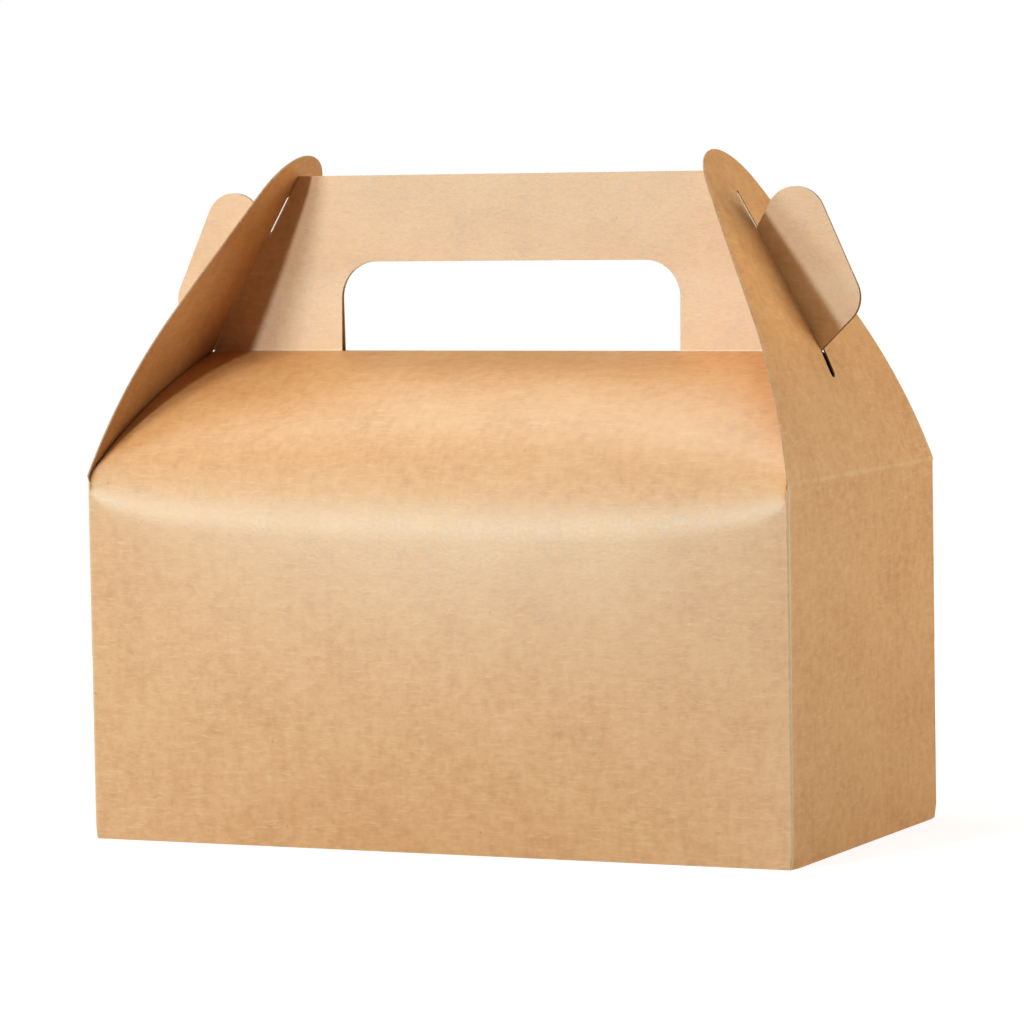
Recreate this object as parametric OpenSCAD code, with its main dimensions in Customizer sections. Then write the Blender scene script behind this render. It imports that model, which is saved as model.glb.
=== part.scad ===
// Gable box: one folded and glued sheet of kraft board, closed, with its two end
// flaps hooked over the ears of the handle. All sizes in millimetres. The origin is
// at the middle of the bottom, +X runs along the box and +Z is up.

/* [Box] */
// Outside length at the bottom
box_l = 241; // [190:1:300]
// Outside width at the bottom
box_w = 129; // [105:1:160]
// Height of the walls, up to the fold under each end flap
wall_h = 117; // [90:1:140]
// Thickness of the board
board = 0.5; // [0.35:0.05:0.7]
// How far the front and back walls belly out at mid length
belly = 3; // [0.5:0.5:6]

/* [Roof] */
// Height of the ridge above the walls
roof_rise = 37.5; // [30:0.5:50]
// Rise of a roof panel above its own chord, at the ends
crown_end = 3.8; // [1:0.2:7]
// Rise of a roof panel above its own chord, at mid length
crown_mid = 7; // [2:0.5:9]
// Radius of the bend from wall to roof, at the ends
bend_r_end = 8; // [3:0.5:12]
// Radius of the same bend at mid length
bend_r_mid = 52; // [15:1:56]

/* [Handle] */
// Height of the handle above the ridge
handle_h = 57; // [50:1:70]
// Distance across the two handle sheets where they leave the ridge
sheet_spread = 2.9; // [2:0.1:3]
// Height above the ridge at which the two sheets meet
sheet_meet = 25; // [10:1:40]
// Gap left between the two sheets above that
sheet_gap = 0.1; // [0.05:0.05:0.3]
// Length of the hand hole
hole_l = 119.5; // [90:1:140]
// Height of the hand hole, up from the ridge
hole_h = 29; // [22:1:36]
// Radius of the hand hole's upper corners
hole_r = 12; // [4:1:20]

/* [Ears] */
// Length of an ear's neck, measured along the end flap from the ridge
neck_l = 44.4; // [40:0.2:50]
// How far an ear stands out of the flap at its lower corner
ear_low = 20; // [16:0.5:24]
// How far an ear stands out of the flap at its upper corner
ear_high = 22.7; // [16:0.1:26]
// Radius of an ear's lower corner
ear_low_r = 9.5; // [5:0.5:12]
// Radius of an ear's upper corner
ear_high_r = 10; // [5:0.5:12]
// Height of the lower corner's centre above the ridge, along the flap
ear_low_s = 13.6; // [12:0.2:18]
// Distance of the upper corner's centre below the notch, along the flap
ear_high_s = 3.5; // [1:0.1:8]

/* [End flaps] */
// Lean of a flap right above its fold
fold_lean = 13; // [5:0.5:18]
// Lean of a flap's straight part
flap_lean = 30; // [27:0.5:33]
// Radius to which a flap is rolled between the two
flap_bend_r = 190; // [150:5:220]
// Radius of the bow of a flap's side edges
side_r = 1150; // [600:50:3000]
// Radius of a flap's round tip
tip_r = 23.4; // [15:0.2:32]
// Board left between the slot and the tip
tip_land = 15.1; // [8:0.1:20]
// Play of the handle's sheets in the slot, on each side
slot_play = 0.3; // [0.25:0.05:0.5]
// How far the slot runs on below the ridge
slot_under = 8.5; // [5:0.1:9]
// How far the slot runs on above the notch
slot_over = 14.1; // [8:0.1:18]

/* [Bottom] */
// Reach of the inner bottom flap past the middle of the box
inner_past = 12; // [5:1:25]
// Reach of the outer bottom flap past the middle of the box
outer_past = 8; // [5:1:20]
// Reach of each end's bottom flap
side_reach = 62; // [40:1:70]
// Length of the locking tongue on the outer bottom flap
tongue_l = 96; // [60:1:120]
// Reach of the tongue past its own flap
tongue_reach = 13; // [8:1:18]
// Part of the length over which the inner bottom flap keeps its full reach
inner_straight = 0.8; // [0.6:0.05:0.9]
// The same for the outer bottom flap
outer_straight = 0.75; // [0.6:0.05:0.9]
// Play of the tongue in its slot, at each end
tongue_play = 1; // [0.5:0.25:2]
// Width of the glued tab inside one corner
tab_w = 15; // [10:1:20]

/* [Clearance] */
// Gap at each fold that opens, and between the flaps and what they close on
fold_gap = 0.35; // [0.2:0.05:0.4]

/* [Hidden] */
kraft = "burlywood";
$fn = 64;

// Heights above the floor
ridge_h = wall_h + roof_rise;
top_h = ridge_h + handle_h;
// Depth behind a flap's outer face at which the carton stops
behind = board + fold_gap;
// Directions along a flap's straight part and square to it, as x and z
up_flap = [-sin(flap_lean), cos(flap_lean)];
off_flap = [cos(flap_lean), sin(flap_lean)];
// Centre of a flap's roll, and where the roll ends and the straight part starts
roll_centre = [box_l / 2 - flap_bend_r * cos(fold_lean), wall_h - flap_bend_r * sin(fold_lean)];
roll_end = roll_centre + flap_bend_r * off_flap;
// Distances along a flap's straight part. Below the end of the roll they are negative.
ridge_s = (ridge_h - roll_end[1]) / cos(flap_lean);
meet_s = ridge_s + sheet_meet / cos(flap_lean);
notch_s = ridge_s + neck_l;
slot_s = [ridge_s - slot_under, notch_s + slot_over];
tip_s = slot_s[1] + tip_land;
// Widths of the slot where the handle's sheets are apart and where they have met
slot_wide = sheet_spread + 2 * slot_play;
slot_narrow = 2 * board + sheet_gap + 2 * slot_play;
// Power by which the bend slackens away from the ends: a lower one slackens it sooner
bend_power = 0.4;
// Steps along the length, along each arc of the wall and roof, and up a flap's side edge
stations = 16;
wall_steps = 5;
bend_steps = 6;
roof_steps = 8;
side_steps = 12;
// Least belly of a wall, which keeps the radius of its arc finite
least_belly = 0.01;
// How far shapes that only cut run past what they cut
overrun = 1;

// Point on a flap: s along its straight part, n out of its outer face
function on_flap(s, n) = roll_end + s * up_flap + n * off_flap;

// Distance from the middle at height z to a surface that lies depth behind a flap
function flap_x(z, depth) = let(
    r = flap_bend_r - depth,
    z_roll = roll_centre[1] + r * sin(flap_lean)
) z <= wall_h ? box_l / 2 - depth
    : z < z_roll ? roll_centre[0] + sqrt(r * r - pow(z - roll_centre[1], 2))
    : roll_centre[0] + r * cos(flap_lean) - (z - z_roll) * tan(flap_lean);

// Share of the way from an end to mid length, at position p from -1 to 1
function swell(p) = 1 - p * p;

// Value a share t of the way from a to b
function mix(a, b, t) = a + (b - a) * t;

// Crossing of two circles, the one on the right of the line from a to b
function crossing(a, ra, b, rb) = let(
    gap = norm(b - a),
    u = (b - a) / gap,
    along = (gap * gap + ra * ra - rb * rb) / (2 * gap),
    off = sqrt(ra * ra - along * along)
) a + along * u + off * [u[1], -u[0]];

// Points of an arc about c, from the direction of point a to that of point b
function arc(c, r, a, b, steps, first) = let(
    start = atan2(a[1] - c[1], a[0] - c[0]),
    turn = atan2(b[1] - c[1], b[0] - c[0]) - start,
    sweep = turn > 180 ? turn - 360 : turn < -180 ? turn + 360 : turn
) [for (k = [first:steps]) c + r * [cos(start + sweep * k / steps), sin(start + sweep * k / steps)]];

// Section of the front wall and roof panel, as y and z, depth inside the outer face:
// a wall arc, a bend and a roof arc that run into each other, from floor to ridge
function section(p, depth) = let(
    foot = [-box_w / 2, 0],
    corner = [-box_w / 2, wall_h],
    ridge = [-(sheet_spread - board) / 2, ridge_h],
    swollen = max(belly * swell(p), least_belly),
    crown = mix(crown_end, crown_mid, swell(p)),
    bend_r = mix(bend_r_end, bend_r_mid, pow(swell(p), bend_power)),
    half_wall = wall_h / 2,
    wall_r = (half_wall * half_wall + swollen * swollen) / (2 * swollen),
    wall_c = [foot[0] - swollen + wall_r, half_wall],
    chord = ridge - corner,
    square = [-chord[1], chord[0]] / norm(chord),
    roof_r = pow(norm(chord), 2) / (8 * crown) + crown / 2,
    roof_c = (corner + ridge) / 2 - (roof_r - crown) * square,
    bend_c = crossing(wall_c, wall_r - bend_r, roof_c, roof_r - bend_r),
    bend_in = wall_c + wall_r * (bend_c - wall_c) / norm(bend_c - wall_c),
    bend_out = roof_c + roof_r * (bend_c - roof_c) / norm(bend_c - roof_c)
) concat(
    arc(wall_c, wall_r - depth, foot, bend_in, wall_steps, 0),
    arc(bend_c, bend_r - depth, bend_in, bend_out, bend_steps, 1),
    arc(roof_c, roof_r - depth, bend_out, ridge, roof_steps, 1)
);

// One station of the panel: its section set along the box, the wall's points into the
// end wall and the roof's points just short of the end flap
function station(p, depth) = let(cut = section(p, depth)) [
    for (k = [0:len(cut) - 1])
        let(reach = k <= wall_steps ? box_l / 2 - board / 2 : flap_x(max(cut[k][1], wall_h), behind))
        [p * reach, cut[k][0], cut[k][1]]
];

// Front wall and roof panel as one bent sheet
module side_panel() {
    n = wall_steps + bend_steps + roof_steps + 1;
    rings = [for (k = [0:stations]) let(p = -cos(180 * k / stations))
        concat(station(p, 0), [for (q = [n - 1:-1:0]) station(p, board)[q]])];
    m = 2 * n;
    points = [for (ring = rings) each ring];
    skin = [for (k = [0:stations - 1], q = [0:m - 1]) let(a = k * m + q, b = k * m + (q + 1) % m)
        each [[a, b, b + m], [a, b + m, a + m]]];
    last = stations * m;
    ends = [for (q = [0:n - 2]) each [
        [q, m - 1 - q, m - 2 - q], [q, m - 2 - q, q + 1],
        [last + q, last + q + 1, last + m - 2 - q], [last + q, last + m - 2 - q, last + m - 1 - q]
    ]];
    polyhedron(points, concat(skin, ends), convexity = 8);
}

// Shape drawn in x and z, standing from y = -depth / 2 to y = depth / 2
module stand(depth) {
    rotate([90, 0, 0]) linear_extrude(depth, center = true) children();
}

// Unit normal of the straight edge that runs from circle a to circle b on its right
function edge_normal(a, b) = let(
    d = [b[0] - a[0], b[1] - a[1]],
    u = d / norm(d),
    k = (a[2] - b[2]) / norm(d)
) k * u + sqrt(1 - k * k) * [u[1], -u[0]];

// Outline drawn tight round a chain of circles, each as x, y and radius
module round_chain(chain) {
    last = len(chain) - 1;
    polygon([for (k = [0:last]) let(
        a = chain[k],
        b = chain[(k + 1) % (last + 1)],
        n = edge_normal(a, b)
    ) each [[a[0], a[1]] + a[2] * n, [b[0], b[1]] + b[2] * n]]);
    for (c = chain) if (c[2] > 0) translate([c[0], c[1]]) circle(c[2]);
}

// Ear: a hook that stands out of the flap and bears on it with its notch
module ear_outline() {
    foot = [flap_x(ridge_h, behind), ridge_h];
    low = on_flap(ridge_s + ear_low_s, ear_low - ear_low_r);
    high = on_flap(notch_s - ear_high_s, ear_high - ear_high_r);
    notch = on_flap(notch_s, -behind);
    inside = on_flap((ridge_s + notch_s) / 2, -behind - ear_low);
    round_chain([
        [foot[0], foot[1], 0],
        [low[0], low[1], ear_low_r],
        [high[0], high[1], ear_high_r],
        [notch[0], notch[1], 0],
        [inside[0], inside[1], 0]
    ]);
}

// Hand hole: square at the ridge, round at its upper corners
module hand_hole() {
    for (side = [-1, 1]) translate([side * (hole_l / 2 - hole_r), ridge_h + hole_h - hole_r]) circle(hole_r);
    translate([-hole_l / 2 + hole_r, ridge_h]) square([hole_l - 2 * hole_r, hole_h]);
    translate([-hole_l / 2, ridge_h - 2 * board]) square([hole_l, hole_h - hole_r + 2 * board]);
}

// Handle sheet seen from the front, with both ears. It is sunk in the roof by one board.
module handle_outline() {
    difference() {
        union() {
            polygon([
                [-flap_x(ridge_h, behind), ridge_h - board],
                [flap_x(ridge_h, behind), ridge_h - board],
                [flap_x(ridge_h, behind), ridge_h],
                [flap_x(top_h, behind), top_h],
                [-flap_x(top_h, behind), top_h],
                [-flap_x(ridge_h, behind), ridge_h]
            ]);
            for (side = [0, 1]) mirror([side, 0]) ear_outline();
        }
        hand_hole();
    }
}

// Front handle sheet: it leaves the ridge apart from its twin and leans in to meet it
module handle_sheet() {
    out_low = sheet_spread / 2;
    out_high = board + sheet_gap / 2;
    intersection() {
        stand(4 * sheet_spread) handle_outline();
        rotate([90, 0, 90]) linear_extrude(2 * box_l, center = true) polygon([
            [-out_low, ridge_h - 2 * board],
            [-out_low, ridge_h],
            [-out_high, ridge_h + sheet_meet],
            [-out_high, top_h + overrun],
            [board - out_high, top_h + overrun],
            [board - out_high, ridge_h + sheet_meet],
            [board - out_low, ridge_h],
            [board - out_low, ridge_h - 2 * board]
        ]);
    }
}

// End wall, up to the fold of its flap. Its sides end inside the board of the side panels.
module end_wall() {
    half = box_w / 2 - board / 4;
    translate([box_l / 2 - board, -half, 0]) cube([board, 2 * half, wall_h - fold_gap / 2]);
}

// Bottom flap of the front wall, folded in first: it lies on top and holds the tongue
module inner_bottom_flap() {
    l = box_l / 2 - 2 * board;
    w = box_w / 2 - board / 2;
    tip_l = l * inner_straight;
    slot_l = tongue_l + 2 * tongue_play;
    translate([0, 0, 2 * board]) linear_extrude(board) difference() {
        polygon([[-l, -w], [l, -w], [l, -w / 2], [tip_l, inner_past], [-tip_l, inner_past], [-l, -w / 2]]);
        translate([-slot_l / 2, -outer_past - 2 * board]) square([slot_l, 2 * board]);
    }
}

// Bottom flap of an end wall, folded in second
module side_bottom_flap() {
    l = box_l / 2 - board / 2;
    w = box_w / 2 - 2 * board;
    translate([0, 0, board]) linear_extrude(board)
        polygon([[l, -w], [l, w], [l - side_reach, w / 2], [l - side_reach, -w / 3]]);
}

// Bottom flap of the back wall, folded in last. Its tongue rises through the slot of the
// inner flap and lies on that flap.
module outer_bottom_flap() {
    l = box_l / 2 - 2 * board;
    w = box_w / 2 - board / 2;
    tip_l = l * outer_straight;
    linear_extrude(board)
        polygon([[-l, w], [l, w], [l, w / 3], [tip_l, -outer_past], [-tip_l, -outer_past], [-l, w / 3]]);
    translate([-tongue_l / 2, -outer_past - 1.5 * board, 0]) cube([tongue_l, 1.5 * board, 4 * board]);
    translate([0, 0, 3 * board]) linear_extrude(board) polygon([
        [-tongue_l / 2, -outer_past],
        [tongue_l / 2, -outer_past],
        [tongue_l / 2 - tongue_reach, -outer_past - tongue_reach],
        [-tongue_l / 2 + tongue_reach, -outer_past - tongue_reach]
    ]);
}

// Glued tab inside the corner of the back and left walls: it stands on the bottom flaps,
// ends short of the bend above, and its corners are cut back
module glue_tab() {
    slope = tab_w / 3;
    low = 3 * board;
    high = wall_h - 8 * board;
    edge = box_w / 2 - board / 2;
    translate([board / 2 - box_l / 2, 0, 0]) rotate([90, 0, 90]) linear_extrude(1.5 * board) polygon([
        [edge, low],
        [edge, high],
        [edge - tab_w, high - slope],
        [edge - tab_w, low + slope]
    ]);
}

// The folded and glued sheet, apart from its end flaps
module carton() {
    color(kraft) {
        for (side = [0, 1]) mirror([0, side, 0]) {
            side_panel();
            handle_sheet();
        }
        for (side = [0, 1]) mirror([side, 0, 0]) {
            end_wall();
            side_bottom_flap();
        }
        inner_bottom_flap();
        outer_bottom_flap();
        glue_tab();
    }
}

// Side view of a flap's outer or inner face and all that lies behind it
module behind_face(depth) {
    r = flap_bend_r - depth;
    far = on_flap(tip_s + tip_land, -depth);
    translate(roll_centre) circle(r, $fn = 180);
    polygon([roll_centre, roll_centre + r * off_flap, far, far - 2 * flap_bend_r * off_flap]);
}

// Slot of a flap, drawn square to the flap's straight part. It is wide where the handle's
// sheets are apart and narrow where they have met.
module slot_outline() {
    wide = slot_wide / 2;
    narrow = slot_narrow / 2;
    ends = [slot_s[0] + wide, slot_s[1] - narrow];
    polygon([
        [-wide, ends[0]], [wide, ends[0]], [wide, ridge_s], [narrow, meet_s],
        [narrow, ends[1]], [-narrow, ends[1]], [-narrow, meet_s], [-wide, ridge_s]
    ]);
    translate([0, ends[0]]) circle(wide);
    translate([0, ends[1]]) circle(narrow);
}

// Flap cut flat, drawn square to its straight part: both side edges are arcs from the fold's
// ends into a round tip. Its foot is shortened as the roll turns away from the straight part.
module flap_outline() {
    roll_l = flap_bend_r * (flap_lean - fold_lean) * PI / 180;
    tip_centre = [0, roll_l + tip_s - tip_r];
    side_centre = crossing(tip_centre, side_r - tip_r, [box_w / 2, 0], side_r);
    side_l = side_centre[1] + side_r * (tip_centre - side_centre)[1] / norm(tip_centre - side_centre);
    side = [for (k = [0:side_steps]) let(
        s = side_l * k / side_steps,
        turn = fold_lean + s / flap_bend_r * 180 / PI
    ) [
        side_centre[0] + sqrt(side_r * side_r - pow(s - side_centre[1], 2)),
        s < roll_l ? flap_bend_r * sin(turn - flap_lean) : s - roll_l
    ]];
    difference() {
        union() {
            polygon(concat(side, [for (k = [side_steps:-1:0]) [-side[k][0], side[k][1]]]));
            translate([0, tip_s - tip_r]) circle(tip_r);
        }
        slot_outline();
    }
}

// End flap: the end wall carried on above its fold, with the slot that hooks the ear
module end_flap() {
    color(kraft) intersection() {
        stand(2 * box_w) difference() {
            behind_face(0);
            behind_face(board);
            translate([-box_l, wall_h - 2 * box_l + fold_gap / 2]) square(2 * box_l);
        }
        translate([roll_end[0], 0, roll_end[1]]) rotate([0, -flap_lean, 0]) rotate([90, 0, 90])
            linear_extrude(flap_bend_r, center = true) flap_outline();
    }
}

module right_end_flap() {
    end_flap();
}

module left_end_flap() {
    mirror([1, 0, 0]) end_flap();
}

carton();
left_end_flap();
right_end_flap();
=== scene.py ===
# %% [markdown]
# # A kraft gable box
# This box is one sheet of kraft board, cut, folded and glued at one corner. Its front and
# back panels bend over into a roof and meet in a carry handle, and its two end flaps are
# hooked over the ears of that handle. The scene loads the solid model as a frame, builds
# the same sheet again with finer curves and the look of real board, and lights it softly.

# %% Load the solid model
import math

import bpy
import numpy as np
from mathutils import Matrix, Vector
from mathutils.geometry import delaunay_2d_cdt


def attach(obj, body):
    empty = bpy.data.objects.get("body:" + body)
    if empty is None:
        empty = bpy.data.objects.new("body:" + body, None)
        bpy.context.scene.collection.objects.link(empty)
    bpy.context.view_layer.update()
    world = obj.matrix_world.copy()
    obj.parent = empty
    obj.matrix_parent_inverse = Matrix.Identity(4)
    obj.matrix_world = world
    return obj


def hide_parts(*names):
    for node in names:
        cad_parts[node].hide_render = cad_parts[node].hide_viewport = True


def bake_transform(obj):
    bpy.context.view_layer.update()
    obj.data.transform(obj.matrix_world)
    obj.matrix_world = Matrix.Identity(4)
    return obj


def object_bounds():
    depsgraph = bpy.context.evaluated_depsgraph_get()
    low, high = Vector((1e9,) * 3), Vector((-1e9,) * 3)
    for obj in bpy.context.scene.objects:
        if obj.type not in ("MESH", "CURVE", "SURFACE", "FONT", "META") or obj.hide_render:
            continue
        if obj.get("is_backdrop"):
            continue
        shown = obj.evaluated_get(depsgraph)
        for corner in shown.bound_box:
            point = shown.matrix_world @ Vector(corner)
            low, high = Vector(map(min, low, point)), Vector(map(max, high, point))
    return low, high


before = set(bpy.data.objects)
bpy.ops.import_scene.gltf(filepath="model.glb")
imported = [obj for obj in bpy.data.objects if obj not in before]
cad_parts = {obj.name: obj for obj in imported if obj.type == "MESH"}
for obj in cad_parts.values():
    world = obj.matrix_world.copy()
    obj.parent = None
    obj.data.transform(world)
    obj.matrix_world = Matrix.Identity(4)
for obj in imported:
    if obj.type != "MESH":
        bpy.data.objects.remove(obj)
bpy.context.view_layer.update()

# %% [markdown]
# ## Sizes
# Everything is placed by the sizes of the real box, in millimetres, and a mesh is scaled to
# metres only when it is made. The same names stand for the same sizes in the solid model.
# The alternative is to fit each panel by eye, but then no panel would meet its neighbour.

# %% Sizes of the box
MM = 0.001
BOARD = 0.5
BOX_L, BOX_W, WALL_H = 241.0, 129.0, 117.0
BELLY = 3.0
ROOF_RISE = 37.5
CROWN_END, CROWN_MID = 3.8, 7.0
BEND_R_END, BEND_R_MID, BEND_POWER = 8.0, 52.0, 0.4
FOLD_GAP = 0.35
RIDGE_H = WALL_H + ROOF_RISE
print("ridge at", RIDGE_H, "mm")

# %% Sizes of the handle and its ears
HANDLE_H = 57.0
TOP_H = RIDGE_H + HANDLE_H
SHEET_SPREAD, SHEET_MEET, SHEET_GAP = 2.9, 25.0, 0.1
HOLE_L, HOLE_H, HOLE_R = 119.5, 29.0, 12.0
NECK_L = 44.4
EAR_LOW, EAR_HIGH = 20.0, 22.7
EAR_LOW_R, EAR_HIGH_R = 9.5, 10.0
EAR_LOW_S, EAR_HIGH_S = 13.6, 3.5
print("top of the handle at", TOP_H, "mm")

# %% Sizes of the end flaps
FOLD_LEAN, FLAP_LEAN = math.radians(13), math.radians(30)
FLAP_BEND_R, SIDE_R = 190.0, 1150.0
TIP_R, TIP_LAND = 23.4, 15.1
SLOT_PLAY, SLOT_UNDER, SLOT_OVER = 0.3, 8.5, 14.1
BEHIND = BOARD + FOLD_GAP
UP_FLAP = np.array([-math.sin(FLAP_LEAN), math.cos(FLAP_LEAN)])
OFF_FLAP = np.array([math.cos(FLAP_LEAN), math.sin(FLAP_LEAN)])
ROLL_CENTRE = np.array([
    BOX_L / 2 - FLAP_BEND_R * math.cos(FOLD_LEAN),
    WALL_H - FLAP_BEND_R * math.sin(FOLD_LEAN),
])
ROLL_END = ROLL_CENTRE + FLAP_BEND_R * OFF_FLAP
ROLL_L = FLAP_BEND_R * (FLAP_LEAN - FOLD_LEAN)
RIDGE_S = (RIDGE_H - ROLL_END[1]) / math.cos(FLAP_LEAN)
MEET_S = RIDGE_S + SHEET_MEET / math.cos(FLAP_LEAN)
NOTCH_S = RIDGE_S + NECK_L
SLOT_S = (RIDGE_S - SLOT_UNDER, NOTCH_S + SLOT_OVER)
TIP_S = SLOT_S[1] + TIP_LAND
print("flap, from its fold to its tip:", round(ROLL_L + TIP_S, 1), "mm")

# %% [markdown]
# ## Where the sheet runs
# A folded sheet is easiest to describe by its section: the curve that its outer face draws
# in a side view. The end flap leans in at its fold, is rolled above it and then straight.
# Front wall and roof are one arc for the wall, one for the bend and one for the roof, and
# each arc runs into the next without a corner. The bend is tight near the ends of the box
# and slack at mid length, which gives the soft bulge where the light gathers.

# %% The end flap in side view
def mix(a, b, t):
    return a + (b - a) * t


def on_flap(s, n):
    """Point s along a flap's straight part and n out of its outer face, as x and z."""
    return ROLL_END + s * UP_FLAP + n * OFF_FLAP


def flap_x(z, depth):
    """Distance from the middle, at height z, to what lies depth behind a flap."""
    r = FLAP_BEND_R - depth
    z_roll = ROLL_CENTRE[1] + r * math.sin(FLAP_LEAN)
    if z <= WALL_H:
        return BOX_L / 2 - depth
    if z < z_roll:
        return ROLL_CENTRE[0] + math.sqrt(r * r - (z - ROLL_CENTRE[1]) ** 2)
    return ROLL_CENTRE[0] + r * math.cos(FLAP_LEAN) - (z - z_roll) * math.tan(FLAP_LEAN)


print("flap at the ridge, from the middle:", round(flap_x(RIDGE_H, 0), 1), "mm")

# %% Front wall and roof in side view
def crossing(a, ra, b, rb):
    """Crossing of two circles, the one on the right of the line from a to b."""
    gap = np.linalg.norm(b - a)
    u = (b - a) / gap
    along = (gap * gap + ra * ra - rb * rb) / (2 * gap)
    off = math.sqrt(ra * ra - along * along)
    return a + along * u + off * np.array([u[1], -u[0]])


def arc(c, r, a, b, steps):
    """Points about c, from the direction of a to that of b."""
    start = math.atan2(a[1] - c[1], a[0] - c[0])
    turn = math.atan2(b[1] - c[1], b[0] - c[0]) - start
    turn = (turn + math.pi) % (2 * math.pi) - math.pi
    return [c + r * np.array([math.cos(start + turn * k / steps), math.sin(start + turn * k / steps)])
            for k in range(steps + 1)]


WALL_STEPS, BEND_STEPS, ROOF_STEPS = 18, 18, 18


def front_section(p, depth=0.0):
    """The face at a depth in the board as y and z, from floor to ridge, at p from -1 to 1."""
    swell = 1 - p * p
    foot = np.array([-BOX_W / 2, 0.0])
    corner = np.array([-BOX_W / 2, WALL_H])
    ridge = np.array([-(SHEET_SPREAD - BOARD) / 2, RIDGE_H])
    swollen = max(BELLY * swell, 0.01)
    crown = mix(CROWN_END, CROWN_MID, swell)
    bend_r = mix(BEND_R_END, BEND_R_MID, swell ** BEND_POWER)
    half_wall = WALL_H / 2
    wall_r = (half_wall ** 2 + swollen ** 2) / (2 * swollen)
    wall_c = np.array([foot[0] - swollen + wall_r, half_wall])
    chord = ridge - corner
    span = np.linalg.norm(chord)
    square = np.array([-chord[1], chord[0]]) / span
    roof_r = span ** 2 / (8 * crown) + crown / 2
    roof_c = (corner + ridge) / 2 - (roof_r - crown) * square
    bend_c = crossing(wall_c, wall_r - bend_r, roof_c, roof_r - bend_r)
    bend_in = wall_c + wall_r * (bend_c - wall_c) / np.linalg.norm(bend_c - wall_c)
    bend_out = roof_c + roof_r * (bend_c - roof_c) / np.linalg.norm(bend_c - roof_c)
    return (arc(wall_c, wall_r - depth, foot, bend_in, WALL_STEPS)
            + arc(bend_c, bend_r - depth, bend_in, bend_out, BEND_STEPS)[1:]
            + arc(roof_c, roof_r - depth, bend_out, ridge, ROOF_STEPS)[1:])


for p in (-1.0, -0.9, -0.6, 0.0):
    heights = [z for _, z in front_section(p)]
    bend_low, bend_high = heights[WALL_STEPS], heights[WALL_STEPS + BEND_STEPS]
    print(f"section at {p}: bend from z {bend_low:.1f} to {bend_high:.1f} mm")

# %% [markdown]
# ## Making a sheet
# Every piece is made of two skins, the outer and the inner face of the board, and a rim that
# joins them all round. A Solidify modifier could do it, but each section is known exactly,
# so the inner skin can follow it exactly too. The rim has a material of its own, because cut
# board shows pale raw fibres. Each point keeps its place on the flat sheet as a UV map in
# metres, so grain and fibres stay at their real size, run on from panel to panel and bend
# with the flaps. Two more values per point say how far it is from the creases, and a piece
# without one has CREASE_FAR there.

# %% Two skins and a rim
CREASE_FAR = 50.0
board_materials = []


def rim_of(faces):
    """The edges that only one face has, each in the direction in which that face runs."""
    edges = [(f[k], f[(k + 1) % len(f)]) for f in faces for k in range(len(f))]
    found = set(edges)
    return [(a, b) for a, b in edges if (b, a) not in found]


def make_board(name, outer, inner, faces, flat, creases):
    """A piece of board from its outer and inner points, in millimetres, with the same faces."""
    count = len(outer)
    rim = rim_of(faces)
    mesh = bpy.data.meshes.new(name)
    mesh.from_pydata(
        [tuple(MM * c for c in q) for q in (*outer, *inner)], [],
        [tuple(f) for f in faces] + [tuple(i + count for i in reversed(f)) for f in faces]
        + [(b, a, a + count, b + count) for a, b in rim])
    mesh.polygons.foreach_set("material_index", [0] * len(faces) + [1] * len(faces) + [2] * len(rim))
    uv = mesh.uv_layers.new(name="flat_sheet")
    point_of = np.zeros(len(mesh.loops), int)
    mesh.loops.foreach_get("vertex_index", point_of)
    both = np.vstack([np.asarray(flat, float)] * 2)
    uv.data.foreach_set("uv", (MM * both[point_of]).astype(np.float32).ravel())
    for key, values in zip(("crease_a", "crease_b"), creases):
        layer = mesh.attributes.new(key, "FLOAT", "POINT")
        layer.data.foreach_set("value", (MM * np.tile(np.asarray(values, float), 2)).astype(np.float32))
    for material in board_materials:
        mesh.materials.append(material)
    mesh.shade_smooth()
    mesh.set_sharp_from_angle(angle=math.radians(38))
    piece = bpy.data.objects.new(name, mesh)
    bpy.context.scene.collection.objects.link(piece)
    print(f"{name}: {len(mesh.vertices)} points, {len(mesh.polygons)} faces")
    return piece


# %% A flat cut-out with rows and columns of points in it
def split_line(a, b, rows, columns):
    """Points from a up to b, with one wherever the line crosses a row or a column."""
    shares = {0.0}
    for axis, cuts in ((0, columns), (1, rows)):
        run = b[axis] - a[axis]
        if abs(run) > 1e-9:
            shares.update(t for t in ((c - a[axis]) / run for c in cuts) if 0.02 < t < 0.98)
    return [(mix(a[0], b[0], t), mix(a[1], b[1], t)) for t in sorted(shares)]


def inside_of(loop, q):
    """Which of the points q lie in a closed loop, by the even-odd rule."""
    found = np.zeros(len(q), bool)
    for (ax, ay), (bx, by) in zip(loop, loop[1:] + loop[:1]):
        if ay != by:
            cross = (ay > q[:, 1]) != (by > q[:, 1])
            found ^= cross & (q[:, 0] < (bx - ax) * (q[:, 1] - ay) / (by - ay) + ax)
    return found


def distance_to(loop, q):
    """Distance of the points q to the nearest line of a closed loop."""
    least = np.full(len(q), 1e9)
    for a, b in zip(loop, loop[1:] + loop[:1]):
        a, d = np.array(a), np.array(b) - np.array(a)
        t = np.clip(((q - a) @ d) / max(d @ d, 1e-12), 0, 1)
        least = np.minimum(least, np.linalg.norm(q - a - t[:, None] * d, axis=1))
    return least


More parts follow.
